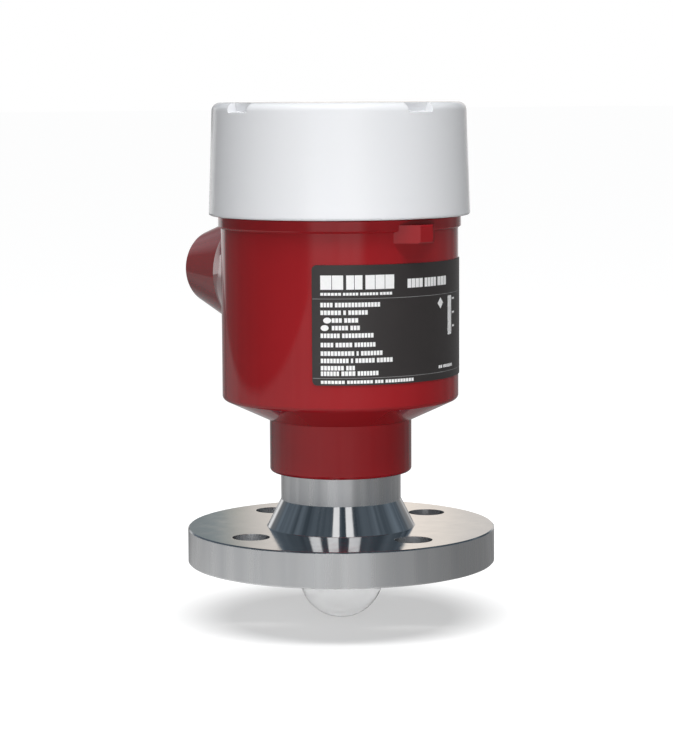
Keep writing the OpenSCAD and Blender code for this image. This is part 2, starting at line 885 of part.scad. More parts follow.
terminal_inset = 8;
pole_row_y = cup_r - terminal_inset;
terminal_l = 14;
pin_d = 1.2;
pin_inset = 4;
pin_row_y = pole_row_y - pin_inset;
pole_screw_d = 4.4;
pole_screw_h = 3;
pole_well_h = 5;
pole_hole_d = 4;
pole_hole_rise = 4.5;
terminal_end_wall = 1;
pole_slot_h = 1.2;

function pole_x(i) = (i - (pole_count - 1) / 2) * pole_pitch;

module header_pins() color("goldenrod")
    for (i = [0 : pole_count - 1])
        translate([pole_x(i), pin_row_y, board_top])
            cylinder(d = pin_d, h = z_cover1 - board_top, $fn = 16);

module cup_cover() color([0.2, 0.2, 0.21])
    difference() {
        translate([0, 0, z_cup1]) cylinder(r = cavity_r - 0.5, h = cover_t);
        for (a = cup_screw_angles)
            rotate([0, 0, a]) translate([boss_ring_r, 0, z_cup1 - 1])
                cylinder(d = cover_screw[2] + 0.4, h = cover_t + 2, $fn = 24);
        rotate([0, 0, ground_angle]) translate([boss_ring_r, 0, z_cup1 - 1])
            cylinder(r = ground_boss_r + 0.5, h = cover_t + 2, $fn = 32);
        for (i = [0 : pole_count - 1])
            translate([pole_x(i), pin_row_y, z_cup1 - 1])
                cylinder(d = pin_d + 0.2, h = cover_t + 2, $fn = 16);
    }

module cover_screws() color("silver")
    for (a = cup_screw_angles)
        rotate([0, 0, a]) translate([boss_ring_r, 0, 0])
            pan_screw(cover_screw, cover_t + cover_screw_bite, z_cover1);

module terminal_block() color([0.75, 0.76, 0.74])
    difference() {
        translate([0, pole_row_y, z_cover1])
            rounded_block(pole_count * pole_pitch + 2 * terminal_end_wall, terminal_l, terminal_h, 1);
        for (i = [0 : pole_count - 1]) {
            // wire opening towards the cable entry
            translate([pole_x(i), pole_row_y + terminal_l / 2 + 1, z_cover1 + pole_hole_rise])
                rotate([90, 0, 0]) cylinder(d = pole_hole_d, h = terminal_l / 2 + 2);
            // screw well
            translate([pole_x(i), pole_row_y, z_cover1 + terminal_h - pole_well_h])
                cylinder(d = pole_screw_d + 2 * assembly_gap, h = pole_well_h + 1);
        }
    }

module terminal_screws() color("silver")
    for (i = [0 : pole_count - 1])
        translate([pole_x(i), pole_row_y, z_cover1 + terminal_h - pole_well_h])
            difference() {
                cylinder(d = pole_screw_d, h = pole_screw_h, $fn = 32);
                translate([0, 0, pole_screw_h])
                    cube([pole_screw_d + 1, pole_screw_d * 0.2, 2 * pole_slot_h], center = true);
            }

ground_clamp_t = 1.2;
earth_clamp_w = 6.4;
earth_clamp_l = 9;

module ground_clamp() color("gold")
    rotate([0, 0, ground_angle])
        difference() {
            translate([boss_ring_r, 0, z_ground])
                rounded_block(earth_clamp_w, earth_clamp_l, ground_clamp_t, 1);
            translate([boss_ring_r, 0, z_ground - 1])
                cylinder(d = earth_screw[2] + 0.3, h = ground_clamp_t + 2, $fn = 32);
        }

module ground_screw() color("silver")
    rotate([0, 0, ground_angle])
        translate([boss_ring_r, 0, 0])
            pan_screw(earth_screw, earth_screw_bite, z_ground + ground_clamp_t);

// ---- display module ------------------------------------------------------

display_r = cavity_r - display_gap;
pedestal_r = pole_row_y - terminal_l / 2 - 2;
window_y = 8;
window_rebate = 1.5;
window_ledge = 2;
key_y = -20;
key_pitch = 12;
key_l = 7;
key_stand = 1.4;
key_flange = 0.8;
key_flange_w = 1;
switch_h = 3.6;
switch_w = 6;
switch_button_d = 3;
switch_button_h = 0.8;
key_stem_d = 4;
drum_wall = 2;
drum_window_w = 16;
drum_band_h = 6;

module display_pedestal() color([0.2, 0.2, 0.21])
    difference() {
        translate([0, 0, z_cover1]) cylinder(r = pedestal_r, h = pedestal_h);
        translate([0, 0, z_cover1 - 1]) cylinder(r = pedestal_r - drum_wall, h = pedestal_h + 2);
        // three windows round the drum
        for (a = [0, 120, 240])
            rotate([0, 0, a]) translate([0, -drum_window_w / 2, z_cover1 + drum_band_h])
                cube([pedestal_r + 1, drum_window_w, pedestal_h - 2 * drum_band_h]);
    }

module display_back() color([0.2, 0.2, 0.21])
    translate([0, 0, z_pedestal1]) cylinder(r = display_r - display_wall - assembly_gap, h = back_t);

module display_board() color("darkgreen")
    translate([0, 0, z_switch_board - board_t])
        cylinder(r = display_r - display_wall - assembly_gap, h = board_t);

function key_x(i) = (i - (key_count - 1) / 2) * key_pitch;

module key_switches() color("dimgray")
    for (i = [0 : key_count - 1])
        translate([key_x(i), key_y, z_switch_board]) {
            rounded_block(switch_w, switch_w, switch_h - switch_button_h, 0.3);
            translate([0, 0, switch_h - switch_button_h - tiny])
                cylinder(d = switch_button_d, h = switch_button_h + tiny, $fn = 24);
        }

module lcd_panel() color([0.62, 0.68, 0.6])
    translate([0, window_y, z_switch_board])
        rounded_block(window_w, window_l, switch_board_drop - face_t - assembly_gap, 0.5);

module display_case() color([0.68, 0.69, 0.7])
    difference() {
        rotate_extrude()
            polygon([
                [0, z_pedestal1], [display_r, z_pedestal1], [display_r, z_display1 - face_t],
                [display_r - face_t, z_display1], [0, z_display1]
            ]);
        translate([0, 0, z_pedestal1 - 1])
            cylinder(r = display_r - display_wall, h = display_h - face_t + 1);
        // window with a rebate for the pane
        translate([0, window_y, z_display1 - face_t - 1])
            rounded_block(window_w - 2 * window_ledge, window_l - 2 * window_ledge, face_t + 2, 1);
        translate([0, window_y, z_display1 - window_rebate])
            rounded_block(window_w, window_l, face_t, 1.5);
        for (i = [0 : key_count - 1])
            translate([key_x(i), key_y, z_display1 - face_t - 1])
                rounded_block(key_w + 2 * moving_gap, key_l + 2 * moving_gap, face_t + 2, 1.5);
    }

module display_window() color([0.7, 0.78, 0.8, 0.5])
    translate([0, window_y, z_display1 - window_rebate])
        rounded_block(window_w - 0.2, window_l - 0.2, window_rebate - 0.1, 1.4);

// A key: cap through the face, flange behind it and a stem over its switch.
module key(i) color([0.35, 0.37, 0.4])
    translate([key_x(i), key_y, 0]) {
        flange_z = z_display1 - face_t - key_flange;
        stem_z = z_switch_board + switch_h + key_travel + moving_gap;
        translate([0, 0, flange_z + key_flange - tiny])
            rounded_block(key_w, key_l, face_t + key_stand, 1.2);
        translate([0, 0, flange_z])
            rounded_block(key_w + 2 * key_flange_w, key_l + 2 * key_flange_w, key_flange, 1.5);
        translate([0, 0, stem_z])
            cylinder(d = key_stem_d, h = flange_z - stem_z + tiny, $fn = 24);
    }

// ---- lid -----------------------------------------------------------------

// Distance from the axis to the centre of an arc that runs into the lid's drafted side, for
// the arc's radius and the height of its centre above the lid's lower edge.
function lid_arc_x(r, h) = lid_r - h * tan(lid_draft) - r / cos(lid_draft);

module lid_outline() {
    side = [cos(lid_draft), sin(lid_draft)];
    lip = [lid_arc_x(lid_lip_round, lid_lip_round), z_lid0 + lid_lip_round];
    shoulder = [lid_arc_x(lid_round, lid_h - lid_round), z_lid1 - lid_round];
    difference() {
        polygon([
            [0, z_lid0],
            [lip.x, z_lid0],
            lip + lid_lip_round * side,
            [lid_r - lid_h * tan(lid_draft), z_lid1],
            [0, z_lid1]
        ]);
        // everything outside the rounded top edge
        difference() {
            translate([shoulder.x, shoulder.y + lid_round * side.y]) square(lid_round + 2);
            translate(shoulder) circle(r = lid_round, $fn = 72);
        }
    }
    translate(lip) circle(r = lid_lip_round, $fn = 48);
}

lid_step_z = z_rim_ring1 + lid_seal_d + assembly_gap + moving_gap * 2;
lid_cone_h = 8;

module lid_cavity() {
    polygon([
        [0, z_lid0 - 1],
        [lid_counterbore_r, z_lid0 - 1],
        [lid_counterbore_r, lid_step_z],
        [lid_thread_r, lid_step_z],
        [lid_thread_r, z_lid1 - lid_roof_t - lid_cone_h],
        [lid_thread_r - lid_cone_h, z_lid1 - lid_roof_t],
        [0, z_lid1 - lid_roof_t]
    ]);
}

notch_flare = 2;
notch_fall = 0.5;
notch_fall_angle = 5;
notch_back_r = lid_r - lid_h * tan(lid_draft) - notch_reach;

// A grip notch in the lid's edge: sides that open upwards and a floor that falls outwards.
module grip_notch()
    translate([notch_back_r, 0, z_lid1 - notch_depth + notch_fall])
        rotate([0, notch_fall_angle, 0]) rotate([90, 0, 90])
            linear_extrude(notch_reach + 10)
                polygon([
                    [-notch_w / 2, 0], [notch_w / 2, 0],
                    [notch_w / 2 + notch_flare, notch_depth + 3],
                    [-notch_w / 2 - notch_flare, notch_depth + 3]
                ]);

rib_count = 8;
rib_t = 2;
rib_drop = 3;
rib_hub_r = 12.5;
rib_hub_wall = 2.5;

module lid() color("whitesmoke")
    difference() {
        union() {
            difference() {
                rotate_extrude($fn = 96) lid_outline();
                rotate_extrude($fn = 96) lid_cavity();
            }
            // stiffening ribs under the roof
            around(rib_count, 22.5)
                translate([rib_hub_r - 1, -rib_t / 2, z_lid1 - lid_roof_t - rib_drop])
                    cube([lid_thread_r - lid_cone_h / 2 - rib_hub_r + 1, rib_t, rib_drop + 1]);
            ring(rib_hub_r - rib_hub_wall, rib_hub_r,
                 z_lid1 - lid_roof_t - rib_drop, z_lid1 - lid_roof_t + 1);
        }
        around(notch_count) grip_notch();
    }

module lid_seal() color("black")
    o_ring(lid_seal_r, lid_seal_d, z_rim_ring1 + assembly_gap + lid_seal_d / 2);

// ---- nodes ---------------------------------------------------------------

flange_neck();
lens();
lens_seal();
lens_clamp_ring();
antenna_horn();
board_standoffs();
radar_board();
radar_chip();
board_screws();
board_connector();
radar_lead();
feedthrough();
swivel_seals();
slide_washer();
retaining_ring();
swivel_collar();
collar_seal();
collar_set_screw();
housing();
lid_lock_screw();
label();
lead_plug();
signal_lead();
electronics_cup();
main_board();
board_parts();
header_pins();
cup_cover();
cover_screws();
terminal_block();
terminal_screws();
ground_clamp();
ground_screw();
display_pedestal();
display_back();
display_board();
key_switches();
lcd_panel();
display_case();
display_window();
key(0);  // key_1
key(1);  // key_2
key(2);  // key_3
key(3);  // key_4
lid_seal();
lid();
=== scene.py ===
import math

import bmesh
import bpy
from mathutils import Matrix, Vector


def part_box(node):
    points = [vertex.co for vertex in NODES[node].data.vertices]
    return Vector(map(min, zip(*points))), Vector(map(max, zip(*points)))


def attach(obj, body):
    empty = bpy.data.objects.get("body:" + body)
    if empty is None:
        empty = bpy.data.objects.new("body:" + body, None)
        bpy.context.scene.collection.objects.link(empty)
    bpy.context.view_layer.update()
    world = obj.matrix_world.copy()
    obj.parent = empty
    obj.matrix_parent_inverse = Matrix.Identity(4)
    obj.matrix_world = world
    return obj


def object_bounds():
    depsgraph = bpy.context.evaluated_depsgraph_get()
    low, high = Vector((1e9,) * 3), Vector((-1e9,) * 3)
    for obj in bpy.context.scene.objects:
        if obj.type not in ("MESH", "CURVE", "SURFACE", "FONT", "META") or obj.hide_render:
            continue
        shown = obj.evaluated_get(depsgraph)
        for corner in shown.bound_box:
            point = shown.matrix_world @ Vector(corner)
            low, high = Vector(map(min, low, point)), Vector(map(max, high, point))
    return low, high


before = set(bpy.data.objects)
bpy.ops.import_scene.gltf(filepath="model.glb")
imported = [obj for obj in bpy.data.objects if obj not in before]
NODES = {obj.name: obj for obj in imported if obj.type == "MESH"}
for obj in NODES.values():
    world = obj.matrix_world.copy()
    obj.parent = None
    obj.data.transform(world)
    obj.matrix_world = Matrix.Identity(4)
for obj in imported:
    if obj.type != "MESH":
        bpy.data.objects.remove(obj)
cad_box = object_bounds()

# Looks, light and camera for the radar level transmitter. Metres, in the model's own
# frame: origin at the centre of the flange's sealing face, +Z up the neck, the cable
# entry on +Y, the label and the lid lock on -Y.

MM = 0.001


def node_low(name):
    return Vector(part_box(name)[0])


def node_high(name):
    return Vector(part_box(name)[1])


# ---- camera --------------------------------------------------------------

VIEW_TURN = math.radians(-38.5)
CAMERA_DISTANCE = 1202.0 * MM
CAMERA_HEIGHT = 230.1 * MM
CAMERA_PITCH = math.radians(6.304)
CAMERA_YAW = math.radians(-0.088)
CAMERA_ROLL = math.radians(-0.320)
LENS_MM = 121.85
SENSOR_MM = 36.0
NEAREST_SEEN = 50.0 * MM


def make_camera():
    """A long-lens view of the label side, from its left and a little from above."""
    data = bpy.data.cameras.new("camera")
    data.sensor_fit = "VERTICAL"
    data.sensor_height = SENSOR_MM
    data.lens = LENS_MM
    data.clip_start = NEAREST_SEEN
    camera = bpy.data.objects.new("camera", data)
    bpy.context.scene.collection.objects.link(camera)
    turn = Matrix.Rotation(VIEW_TURN, 4, "Z")
    place = Matrix.Translation((0, -CAMERA_DISTANCE, CAMERA_HEIGHT))
    aim = Matrix.Rotation(-CAMERA_YAW, 4, "Z") @ Matrix.Rotation(math.pi / 2 - CAMERA_PITCH, 4, "X")
    camera.matrix_world = turn @ place @ aim @ Matrix.Rotation(CAMERA_ROLL, 4, "Z")
    bpy.context.scene.camera = camera


# ---- node graph helpers --------------------------------------------------

class Graph:
    """A material's or the world's node tree, with short calls for the nodes used here."""

    def __init__(self, tree):
        self.tree = tree
        self.tree.nodes.clear()

    def add(self, kind, **settings):
        node = self.tree.nodes.new(kind)
        for name, value in settings.items():
            setattr(node, name, value)
        return node

    def feed(self, socket, value):
        if isinstance(value, bpy.types.NodeSocket):
            self.tree.links.new(value, socket)
        else:
            socket.default_value = value

    def place(self, scale=(1, 1, 1)):
        """Object coordinates in metres, stretched along the axes."""
        coords = self.add("ShaderNodeTexCoord")
        mapping = self.add("ShaderNodeMapping")
        mapping.inputs["Scale"].default_value = scale
        self.tree.links.new(coords.outputs["Object"], mapping.inputs["Vector"])
        return mapping.outputs["Vector"]

    def noise(self, scale, detail=2.0, stretch=(1, 1, 1)):
        node = self.add("ShaderNodeTexNoise")
        self.feed(node.inputs["Vector"], self.place(stretch))
        node.inputs["Scale"].default_value = scale
        node.inputs["Detail"].default_value = detail
        return node.outputs["Fac"]

    def math(self, operation, a, b=0.0):
        node = self.add("ShaderNodeMath", operation=operation)
        self.feed(node.inputs[0], a)
        self.feed(node.inputs[1], b)
        return node.outputs[0]

    def span(self, value, low, high, to_low=0.0, to_high=1.0):
        node = self.add("ShaderNodeMapRange", clamp=True)
        self.feed(node.inputs["Value"], value)
        node.inputs["From Min"].default_value = low
        node.inputs["From Max"].default_value = high
        node.inputs["To Min"].default_value = to_low
        node.inputs["To Max"].default_value = to_high
        return node.outputs["Result"]

    def vary(self, noise, low, high):
        """The middle stretch of a noise, spread between two values."""
        return self.span(noise, 0.3, 0.7, low, high)

    def band(self, value, low, high, soft):
        """One between two values and nothing beyond them, with soft ends."""
        rise = self.span(value, low - soft, low)
        fall = self.span(value, high, high + soft, 1.0, 0.0)
        return self.math("MULTIPLY", rise, fall)

    def mix(self, factor, a, b):
        node = self.add("ShaderNodeMix", data_type="RGBA")
        self.feed(node.inputs["Factor"], factor)
        self.feed(node.inputs[6], a)
        self.feed(node.inputs[7], b)
        return node.outputs[2]

    def choose(self, factor, a, b):
        """The second shader where the factor is one, else the first."""
        node = self.add("ShaderNodeMixShader")
        self.feed(node.inputs[0], factor)
        self.tree.links.new(a, node.inputs[1])
        self.tree.links.new(b, node.inputs[2])
        return node.outputs[0]

    def glow(self, colour, strength):
        node = self.add("ShaderNodeEmission")
        self.feed(node.inputs["Color"], colour)
        self.feed(node.inputs["Strength"], strength)
        return node.outputs[0]

    def ramp(self, value, stops):
        node = self.add("ShaderNodeValToRGB")
        self.feed(node.inputs["Fac"], value)
        elements = node.color_ramp.elements
        while len(elements) < len(stops):
            elements.new(0.5)
        for element, (position, colour) in zip(elements, stops):
            element.position = position
            element.color = colour
        return node.outputs["Color"]

    def bump(self, height, strength, distance, normal=None):
        node = self.add("ShaderNodeBump")
        node.inputs["Strength"].default_value = strength
        node.inputs["Distance"].default_value = distance
        self.feed(node.inputs["Height"], height)
        if normal is not None:
            self.feed(node.inputs["Normal"], normal)
        return node.outputs["Normal"]

    def soft_edges(self, radius):
        """The normal as if the sharp edges were rounded."""
        node = self.add("ShaderNodeBevel", samples=4)
        node.inputs["Radius"].default_value = radius
        return node.outputs["Normal"]


def rgba(r, g, b):
    return (r, g, b, 1.0)


def grey(tone):
    return rgba(tone, tone, tone)


def new_material(name):
    """An empty material with one Principled shader wired to its output."""
    material = bpy.data.materials.new(name)
    material.use_nodes = True
    graph = Graph(material.node_tree)
    shader = graph.add("ShaderNodeBsdfPrincipled")
    output = graph.add("ShaderNodeOutputMaterial")
    graph.tree.links.new(shader.outputs["BSDF"], output.inputs["Surface"])
    return material, graph, shader.inputs


# ---- materials -----------------------------------------------------------

GRAIN_DEPTH = 0.1 * MM
EDGE_RADIUS = 0.4 * MM
LID_EDGE_RADIUS = 0.5 * MM
LENS_GLOW_DEPTH = 8.0 * MM
METAL_GRAIN = 1200
PLASTIC_GRAIN = 2200


def red_paint():
    """Glossy red enamel with a slightly uneven tone."""
    material, g, shader = new_material("red_enamel")
    tone = g.noise(45, detail=1)
    colour = g.mix(tone, rgba(0.265, 0.0065, 0.010), rgba(0.295, 0.0080, 0.012))
    g.feed(shader["Base Color"], colour)
    g.feed(shader["Roughness"], g.vary(tone, 0.28, 0.33))
    g.feed(shader["Normal"], g.soft_edges(EDGE_RADIUS))
    shader["Specular IOR Level"].default_value = 0.0
    shader["Coat Weight"].default_value = 1.0
    shader["Coat IOR"].default_value = 1.42
    shader["Coat Roughness"].default_value = 0.025
    return material


def white_plastic():
    """Glossy white moulded plastic with a hint of flow marks and fine grain."""
    material, g, shader = new_material("white_moulding")
    tone = g.noise(40, detail=2, stretch=(1, 1, 0.3))
    g.feed(shader["Base Color"], g.mix(tone, rgba(0.78, 0.79, 0.815), rgba(0.82, 0.825, 0.84)))
    g.feed(shader["Roughness"], g.vary(g.noise(500, detail=2), 0.16, 0.24))
    edges = g.soft_edges(LID_EDGE_RADIUS)
    g.feed(shader["Normal"], g.bump(g.noise(1500, detail=1), 0.03, GRAIN_DEPTH, edges))
    shader["Coat Weight"].default_value = 0.3
    shader["Coat Roughness"].default_value = 0.05
    return material


def turned_steel():
    """Turned stainless steel: fine rings round the axis, mirror bright on the cone and the
    flange's top, more satin on the rim and the straight neck."""
    material, g, shader = new_material("turned_stainless")
    parts = g.add("ShaderNodeSeparateXYZ")
    g.feed(parts.inputs[0], g.add("ShaderNodeNewGeometry").outputs["Normal"])
    upright = g.span(g.math("ABSOLUTE", parts.outputs["Z"]), 0.05, 0.3)
    grain = g.noise(900, detail=2, stretch=(0.3, 0.3, 1))
    streak = g.noise(160, detail=3, stretch=(1, 1, 0.02))
    satin = g.span(streak, 0.25, 0.75, 0.24, 0.32)
    bright = g.span(streak, 0.25, 0.75, 0.05, 0.11)
    roughness = g.add("ShaderNodeMix", data_type="FLOAT")
    g.feed(roughness.inputs["Factor"], upright)
    g.feed(roughness.inputs[2], satin)
    g.feed(roughness.inputs[3], bright)
    g.feed(shader["Roughness"], roughness.outputs[0])
    tone = g.vary(g.noise(110, detail=2, stretch=(1, 1, 0.02)), 0.0, 1.0)
    g.feed(shader["Base Color"], g.mix(tone, rgba(0.67, 0.68, 0.695), rgba(0.74, 0.745, 0.75)))
    shader["Metallic"].default_value = 1.0
    shader["Anisotropic"].default_value = 0.9
    shader["Anisotropic Rotation"].default_value = 0.25
    tangent = g.add("ShaderNodeTangent", direction_type="RADIAL", axis="Z")
    g.feed(shader["Tangent"], tangent.outputs["Tangent"])
    g.feed(shader["Normal"], g.bump(grain, 0.015, GRAIN_DEPTH, g.soft_edges(EDGE_RADIUS)))
    return material


def metal(name, dark, light, rough):
    """A small turned or stamped metal part with a fine grain."""
    material, g, shader = new_material(name)
    tone = g.noise(METAL_GRAIN * 0.3, detail=2)
    g.feed(shader["Base Color"], g.mix(tone, rgba(*dark), rgba(*light)))
    grain = g.noise(METAL_GRAIN, detail=2)
    g.feed(shader["Roughness"], g.vary(grain, rough * 0.8, rough * 1.2))
    g.feed(shader["Normal"], g.bump(grain, 0.05, GRAIN_DEPTH))
    shader["Metallic"].default_value = 1.0
    return material


def plastic(name, dark, light, rough, grain=0.12):
    """Moulded plastic with a fine spark-eroded grain."""
    material, g, shader = new_material(name)
    tone = g.noise(90, detail=3)
    g.feed(shader["Base Color"], g.mix(tone, rgba(*dark), rgba(*light)))
    texture = g.noise(PLASTIC_GRAIN, detail=2)
    g.feed(shader["Roughness"], g.vary(texture, rough * 0.85, rough * 1.15))
    g.feed(shader["Normal"], g.bump(texture, grain, GRAIN_DEPTH))
    return material


def lens_plastic():
    """Frosted white polypropylene that lets some light in."""
    material, g, shader = new_material("frosted_polypropylene")
    tone = g.noise(60, detail=2)
    g.feed(shader["Base Color"], g.mix(tone, rgba(0.93, 0.935, 0.94), rgba(0.97, 0.97, 0.97)))
    g.feed(shader["Roughness"], g.vary(g.noise(700), 0.30, 0.40))
    g.feed(shader["Normal"], g.bump(g.noise(1400), 0.05, GRAIN_DEPTH))
    shader["Subsurface Weight"].default_value = 0.4
    shader["Subsurface Radius"].default_value = (LENS_GLOW_DEPTH,) * 3
    shader["Transmission Weight"].default_value = 0.6
    shader["IOR"].default_value = 1.07
    return material


def label_face():
    """Dark satin label foil with a fine grain."""
    material, g, shader = new_material("label_foil")
    tone = g.noise(50, detail=3)
    g.feed(shader["Base Color"], g.mix(tone, rgba(0.024, 0.021, 0.021), rgba(0.032, 0.028, 0.028)))
    texture = g.noise(1800, detail=2)
    g.feed(shader["Roughness"], g.vary(texture, 0.34, 0.44))
    g.feed(shader["Normal"], g.bump(texture, 0.06, GRAIN_DEPTH))
    return material


def label_ink(name, dark, light):
    """Printed ink, very slightly uneven."""
    material, g, shader = new_material(name)
    g.feed(shader["Base Color"], g.mix(g.noise(900, detail=2), rgba(*dark), rgba(*light)))
    g.feed(shader["Roughness"], g.vary(g.noise(1500), 0.45, 0.55))
    return material


def circuit_board():
    """Green solder mask over copper tracks, with tinned pads."""
    material, g, shader = new_material("green_circuit_board")
    cells = g.add("ShaderNodeTexVoronoi", feature="DISTANCE_TO_EDGE", distance="CHEBYCHEV")
    g.feed(cells.inputs["Vector"], g.place((1, 1, 0)))
    cells.inputs["Scale"].default_value = 260
    cells.inputs["Randomness"].default_value = 0.7
    track = g.span(cells.outputs["Distance"], 0.06, 0.10, 1.0, 0.0)
    dots = g.add("ShaderNodeTexVoronoi")
    g.feed(dots.inputs["Vector"], g.place((1, 1, 0)))
    dots.inputs["Scale"].default_value = 330
    pad = g.span(dots.outputs["Distance"], 0.16, 0.20, 1.0, 0.0)
    mask = g.mix(track, rgba(0.010, 0.085, 0.035), rgba(0.030, 0.170, 0.070))
    g.feed(shader["Base Color"], g.mix(pad, mask, rgba(0.62, 0.60, 0.52)))
    g.feed(shader["Roughness"], g.span(pad, 0.0, 1.0, 0.42, 0.28))
    g.feed(shader["Metallic"], pad)
    g.feed(shader["Normal"], g.bump(g.math("ADD", track, pad), 0.15, GRAIN_DEPTH))
    return material


def rubber():
    """Matte black seal rubber."""
    material, g, shader = new_material("seal_rubber")
    g.feed(shader["Base Color"], g.mix(g.noise(300), grey(0.018), grey(0.030)))
    g.feed(shader["Roughness"], g.vary(g.noise(900), 0.60, 0.75))
    g.feed(shader["Normal"], g.bump(g.noise(2500), 0.15, GRAIN_DEPTH))
    return material


def clear_pane():
    """Clear pane over the display."""
    material, g, shader = new_material("clear_pane")
    g.feed(shader["Base Color"], g.mix(g.noise(60), rgba(0.88, 0.92, 0.93), rgba(0.93, 0.96, 0.96)))
    g.feed(shader["Roughness"], g.vary(g.noise(400), 0.02, 0.05))
    shader["Transmission Weight"].default_value = 0.95
    shader["IOR"].default_value = 1.49
    return material


def display_glass():
    """Grey-green display with rows of faint pixel cells."""
    material, g, shader = new_material("display_glass")
    grid = g.add("ShaderNodeTexBrick", offset=0.0)
    g.feed(grid.inputs["Vector"], g.place())
    g.feed(grid.inputs["Color1"], rgba(0.40, 0.46, 0.36))
    g.feed(grid.inputs["Color2"], rgba(0.43, 0.49, 0.39))
    g.feed(grid.inputs["Mortar"], rgba(0.34, 0.39, 0.31))
    grid.inputs["Scale"].default_value = 1000.0
    grid.inputs["Mortar Size"].default_value = 0.08
    grid.inputs["Brick Width"].default_value = 0.6
    grid.inputs["Row Height"].default_value = 0.6
    g.feed(shader["Base Color"], grid.outputs["Color"])
    g.feed(shader["Roughness"], g.vary(g.noise(500), 0.25, 0.32))
    return material


def dress_nodes(material, *names):
    """Gives every listed CAD node one material."""
    for name in names:
        slots = NODES[name].data.materials
        slots.clear()
        slots.append(material)


def dress_cad():
    """A finish for every CAD node."""
    dress_nodes(red_paint(), "housing", "swivel_collar")
    dress_nodes(white_plastic(), "lid")
    dress_nodes(turned_steel(), "flange_neck")
    dress_nodes(lens_plastic(), "lens", "slide_washer")
    dress_nodes(label_face(), "label")
    dress_nodes(rubber(), "lens_seal", "swivel_seals", "collar_seal", "lid_seal", "signal_lead")
    dress_nodes(circuit_board(), "radar_board", "main_board", "display_board")
    dress_nodes(clear_pane(), "display_window")
    dress_nodes(display_glass(), "lcd_panel")
    dress_nodes(metal("turned_aluminium", (0.66, 0.66, 0.67), (0.76, 0.76, 0.77), 0.30),
                "lens_clamp_ring", "antenna_horn")
    dress_nodes(metal("brass", (0.62, 0.45, 0.18), (0.74, 0.56, 0.26), 0.28),
                "board_standoffs", "header_pins", "ground_clamp")
    dress_nodes(metal("zinc_plate", (0.52, 0.52, 0.51), (0.66, 0.66, 0.64), 0.32),
                "board_screws", "retaining_ring", "collar_set_screw", "lid_lock_screw",
                "cover_screws", "terminal_screws", "ground_screw")
    dress_nodes(plastic("black_epoxy", (0.030, 0.030, 0.033), (0.045, 0.045, 0.048), 0.50),
                "radar_chip", "board_parts", "key_switches", "radar_lead", "lead_plug")
    dress_nodes(plastic("ivory_nylon", (0.66, 0.62, 0.50), (0.74, 0.70, 0.58), 0.45),
                "board_connector")
    dress_nodes(plastic("grey_polyamide", (0.36, 0.37, 0.38), (0.43, 0.44, 0.45), 0.42),
                "feedthrough", "terminal_block", "display_case")
    dress_nodes(plastic("black_polycarbonate", (0.028, 0.028, 0.030), (0.042, 0.042, 0.045), 0.38),
                "electronics_cup", "cup_cover", "display_pedestal", "display_back")
    dress_nodes(plastic("key_rubber", (0.10, 0.11, 0.12), (0.14, 0.15, 0.17), 0.55, grain=0.2),
                "key_1", "key_2", "key_3", "key_4")


# ---- mesh helpers --------------------------------------------------------

def skin_rows(bm, rows):
    """Closes a run of four-cornered cross-sections into one solid."""
    for a, b in zip(rows, rows[1:]):
        for k in range(4):
            bm.faces.new((a[k], a[(k + 1) % 4], b[(k + 1) % 4], b[k]))
    bm.faces.new(rows[0])
    bm.faces.new(reversed(rows[-1]))


def finish_mesh(name, mesh_builder, material, body):
    """Turns a bmesh into a piece that rides on a body."""
    mesh = bpy.data.meshes.new(name)
    bmesh.ops.recalc_face_normals(mesh_builder, faces=mesh_builder.faces)
    mesh_builder.to_mesh(mesh)
    mesh_builder.free()
    mesh.materials.append(material)
    piece = bpy.data.objects.new(name, mesh)
    bpy.context.scene.collection.objects.link(piece)
    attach(piece, body)


# ---- label print ---------------------------------------------------------

# print: its thickness, the turn of one facet, and the turns of a block and of the gap
# between blocks in degrees
PRINT_T = 0.05 * MM
PRINT_STEP = math.radians(1.5)
BLOCK_TURN = 1.5
BLOCK_GAP = 0.3
# half the height that a dot or the diamond keeps at its ends
THINNEST_PRINT = 0.01 * MM
LABEL_LOW = node_low("label")
LABEL_HIGH = node_high("label")
LABEL_R = -LABEL_LOW.y
LABEL_HALF_ANGLE = math.asin(LABEL_HIGH.x / LABEL_R)
PRINT_LEFT = -47.5
ROW_HEIGHT = 2.1
# heading rows: left end in degrees, height above the label's lower edge and letter height
# in mm, the words' lengths, their gap and their blocks in degrees
HEADINGS = (
    (PRINT_LEFT, 48.0, 6.6, (10.5, 7.5, 14.0), 1.4, 4.5),
    (PRINT_LEFT, 42.6, 1.3, (9.5, 7.0, 8.5, 6.0), 0.9, BLOCK_TURN),
    (-5.5, 46.8, 4.2, (9.0, 8.0, 7.5), 1.3, 2.2),
)
# text rows: height above the label's lower edge in mm, indent and words in degrees
ROWS = (
    (37.6, 0.0, (5.6, 21.0)),
    (34.0, 0.0, (9.4, 1.2, 9.0)),
    (30.4, 5.2, (4.6, 6.4)),
    (26.9, 5.2, (7.4, 4.4)),
    (23.3, 0.0, (8.8, 14.6)),
    (19.0, 0.0, (5.8, 7.6, 9.8)),
    (15.0, 0.0, (15.4, 1.0, 10.2)),
    (11.6, 0.0, (12.8, 1.0, 9.0, 7.8)),
    (8.2, 0.0, (10.6, 4.0)),
    (5.6, 0.0, (8.4, 6.4, 9.8)),
)
# oval dots in front of two rows: height in mm, then the middle in degrees
DOTS = ((30.4, -44.4), (26.9, -45.6))
DOT_STEPS = 16
DIAMOND_STEPS = 4
# ticks beside the level bar: height in mm
TICKS = (24.5, 31.0, 37.6)
# thin rules across the label: height in mm, and how far their ends stay inside its edges
# in degrees
RULES = (40.4, 3.4)
RULE_INSET = 0.3


def on_label(angle, z, r):
    """A point at an angle from the label's middle, counted to the right as it is read."""
    return Vector((r * math.sin(angle), -r * math.cos(angle), z))


